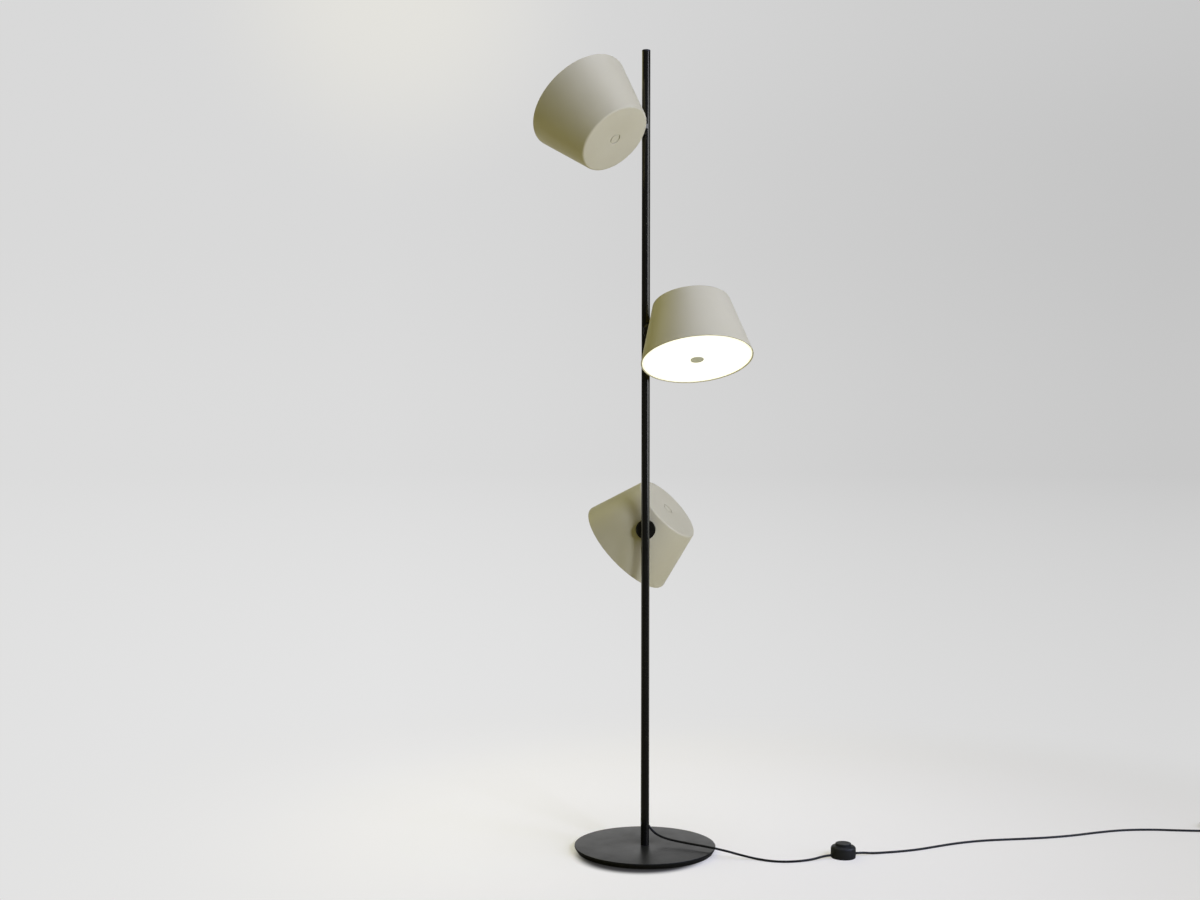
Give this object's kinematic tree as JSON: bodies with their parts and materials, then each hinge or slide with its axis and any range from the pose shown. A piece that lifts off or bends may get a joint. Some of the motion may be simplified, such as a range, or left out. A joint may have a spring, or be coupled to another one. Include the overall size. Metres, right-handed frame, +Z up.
{
  "type": "floor lamp",
  "caption": "Floor lamp with a straight pole on a round base, conical shades that swivel on hubs along the pole, and a lead with a round foot switch.",
  "frame": {"origin": "centre of the base's underside, on the floor", "axes": "+Z up the pole, +X right in a front view, along the lead, +Y away from the viewer"},
  "size_m": [1.8375, 0.5047, 1.9],
  "materials": {
    "black_steel": "black powder coat, satin",
    "greige_paint": "warm grey paint, satin",
    "greige_cap": "warm grey paint, satin",
    "white_paint": "white paint, matt",
    "opal_acrylic": "opal acrylic, satin",
    "bare_steel": "zinc plated",
    "friction_nylon": "natural nylon",
    "board_white": "white solder mask",
    "white_plastic": "moulded, matt",
    "black_plastic": "moulded, fine grain",
    "black_rubber": "matt",
    "felt": "pressed felt",
    "lead": "smooth sheath, satin",
    "tie": "matt strap",
    "brass": "polished"
  },
  "bodies": {
    "stand": {"base_plate": "black_steel", "foot_pad": "felt", "pole": "black_steel", "pole_cap": "black_plastic", "foot_plug": "bare_steel", "foot_washer": "bare_steel", "foot_bolt": "bare_steel", "cord_gland": "black_rubber", "pole_wiring": "lead", "hub_upper": "black_steel", "hub_middle": "black_steel", "hub_lower": "black_steel", "swivel_pins": "bare_steel", "friction_washers": "friction_nylon", "stop_washers": "bare_steel", "spring_washers": "bare_steel", "lock_nuts": "bare_steel", "switch_base": "black_plastic", "switch_cover": "black_plastic", "switch_core": "white_plastic", "switch_screws": "bare_steel", "switch_spring": "bare_steel", "cord_to_switch": "lead", "cord_to_coil": "lead", "cord_coil": "lead", "coil_tie": "tie", "plug_body": "black_plastic", "plug_pins": "brass"},
    "shade_upper": {"shade_shell_upper": "greige_paint", "rear_cap_upper": "greige_cap", "centre_rod_upper": "bare_steel", "led_tray_upper": "white_paint", "led_board_upper": "board_white", "driver_upper": "white_plastic", "diffuser_upper": "opal_acrylic", "diffuser_knob_upper": "greige_cap", "swivel_disc_upper": "black_steel", "inner_bracket_upper": "bare_steel"},
    "shade_middle": {"shade_shell_middle": "greige_paint", "rear_cap_middle": "greige_cap", "centre_rod_middle": "bare_steel", "led_tray_middle": "white_paint", "led_board_middle": "board_white", "driver_middle": "white_plastic", "diffuser_middle": "opal_acrylic", "diffuser_knob_middle": "greige_cap", "swivel_disc_middle": "black_steel", "inner_bracket_middle": "bare_steel"},
    "shade_lower": {"shade_shell_lower": "greige_paint", "rear_cap_lower": "greige_cap", "centre_rod_lower": "bare_steel", "led_tray_lower": "white_paint", "led_board_lower": "board_white", "driver_lower": "white_plastic", "diffuser_lower": "opal_acrylic", "diffuser_knob_lower": "greige_cap", "swivel_disc_lower": "black_steel", "inner_bracket_lower": "bare_steel"},
    "switch_button": {"switch_button": "black_plastic"}
  },
  "joints": [
    {"name": "upper_shade_swivel", "type": "hinge", "parent": "stand", "child": "shade_upper", "pos_m": [0, 0, 1.7162], "axis": [-0.8599, -0.5105, 0], "range_deg": [-33.4, 306.6]},
    {"name": "middle_shade_swivel", "type": "hinge", "parent": "stand", "child": "shade_middle", "pos_m": [0, 0, 1.23], "axis": [0.8261, -0.5635, 0], "range_deg": [-154.6, 185.4]},
    {"name": "lower_shade_swivel", "type": "hinge", "parent": "stand", "child": "shade_lower", "pos_m": [0, 0, 0.7614], "axis": [0.0837, 0.9965, 0], "range_deg": [-216.6, 123.4]},
    {"name": "switch_press", "type": "slide", "parent": "stand", "child": "switch_button", "axis": [0, 0, -1], "range_m": [0, 0.004], "stiffness_N_per_m": 2500, "springref_m": -0.001, "deforming": ["switch_spring"]}
  ]
}
